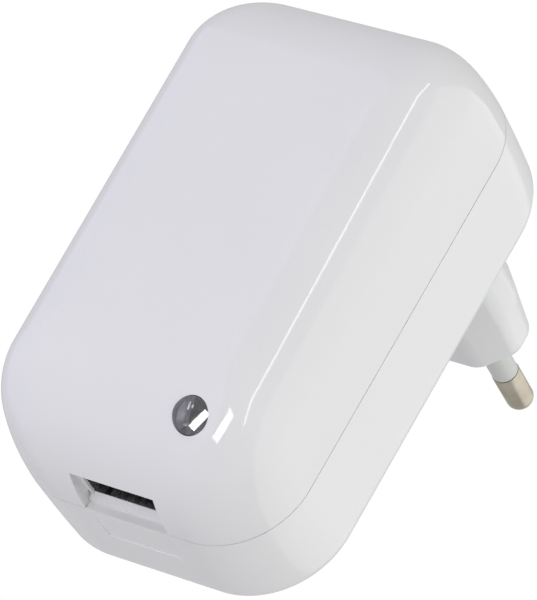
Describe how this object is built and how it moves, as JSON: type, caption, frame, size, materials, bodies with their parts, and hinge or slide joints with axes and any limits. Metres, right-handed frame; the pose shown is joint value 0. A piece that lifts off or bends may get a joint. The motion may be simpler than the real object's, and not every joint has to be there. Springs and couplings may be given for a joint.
{
  "type": "usb wall charger",
  "caption": "Slab-shaped mains charger with a soft-edged cover, a two-pin round plug on its back, a USB type A port in one end and a clear indicator lamp.",
  "frame": {"origin": "centre of the plug's engagement face, midway between its two pins", "axes": "+Y the way the pins point, into the wall socket; +Z away from the port's end, along the case's long side; +X to the right, looking at the front cover"},
  "size_m": [0.044, 0.0742, 0.075],
  "materials": {
    "white_gloss": "high-gloss injection-moulded ABS/PC",
    "white_satin": "glossy injection-moulded polycarbonate",
    "white_sleeve": "satin nylon",
    "nickel": "worn nickel plate on brass",
    "clear_epoxy": "water-clear polished epoxy",
    "tinned_steel": "tin-plated sheet",
    "black_nylon": "matte moulded nylon",
    "gold": "gold flash on phosphor bronze",
    "laminate": "phenolic paper laminate with lacquer",
    "ferrite": "sintered matte",
    "yellow_tape": "polyester film tape",
    "bobbin_nylon": "matte moulded phenolic",
    "black_sleeve": "shrunk PVC sleeve",
    "green_sleeve": "shrunk PVC sleeve",
    "grey_coat": "flameproof lacquer",
    "black_epoxy": "moulded epoxy",
    "blue_ceramic": "epoxy-dipped ceramic",
    "beige_coat": "lacquered ceramic",
    "black_wire": "PVC insulation",
    "red_wire": "PVC insulation"
  },
  "bodies": {
    "charger": {"front_cover": "white_gloss", "rear_case": "white_satin", "europlug_body": "white_satin", "pin_left": "nickel", "pin_right": "nickel", "pin_sleeve_left": "white_sleeve", "pin_sleeve_right": "white_sleeve", "circuit_board": "laminate", "led_body": "clear_epoxy", "led_lead_anode": "tinned_steel", "led_lead_cathode": "tinned_steel", "usb_shell": "tinned_steel", "usb_tongue": "black_nylon", "transformer_core_upper": "ferrite", "transformer_core_lower": "ferrite", "transformer_bobbin": "bobbin_nylon", "transformer_winding": "yellow_tape", "input_capacitor_1": "black_sleeve", "input_capacitor_2": "black_sleeve", "output_capacitor": "green_sleeve", "input_choke": "green_sleeve", "fusible_resistor": "grey_coat", "output_diode": "black_epoxy", "led_resistor": "beige_coat", "y_capacitor": "blue_ceramic", "bridge_rectifier": "black_epoxy", "switch_transistor": "black_epoxy", "controller_chip": "black_epoxy", "optocoupler": "black_epoxy", "mains_wire_left": "black_wire", "mains_wire_right": "red_wire", "usb_tail_1": "gold", "usb_tail_2": "gold", "usb_tail_3": "gold", "usb_tail_4": "gold"},
    "contact_1": {"usb_contact_1": "gold"},
    "contact_2": {"usb_contact_2": "gold"},
    "contact_3": {"usb_contact_3": "gold"},
    "contact_4": {"usb_contact_4": "gold"}
  },
  "joints": [
    {"name": "contact_1_flex", "type": "hinge", "parent": "charger", "child": "contact_1", "pos_m": [-0.0035, -0.03952, -0.0435], "axis": [-1, 0, 0], "range_deg": [0, 3], "stiffness_Nm_per_rad": 0.12},
    {"name": "contact_2_flex", "type": "hinge", "parent": "charger", "child": "contact_2", "pos_m": [-0.001, -0.03952, -0.0435], "axis": [-1, 0, 0], "range_deg": [0, 3], "stiffness_Nm_per_rad": 0.12},
    {"name": "contact_3_flex", "type": "hinge", "parent": "charger", "child": "contact_3", "pos_m": [0.001, -0.03952, -0.0435], "axis": [-1, 0, 0], "range_deg": [0, 3], "stiffness_Nm_per_rad": 0.12},
    {"name": "contact_4_flex", "type": "hinge", "parent": "charger", "child": "contact_4", "pos_m": [0.0035, -0.03952, -0.0435], "axis": [-1, 0, 0], "range_deg": [0, 3], "stiffness_Nm_per_rad": 0.12}
  ]
}
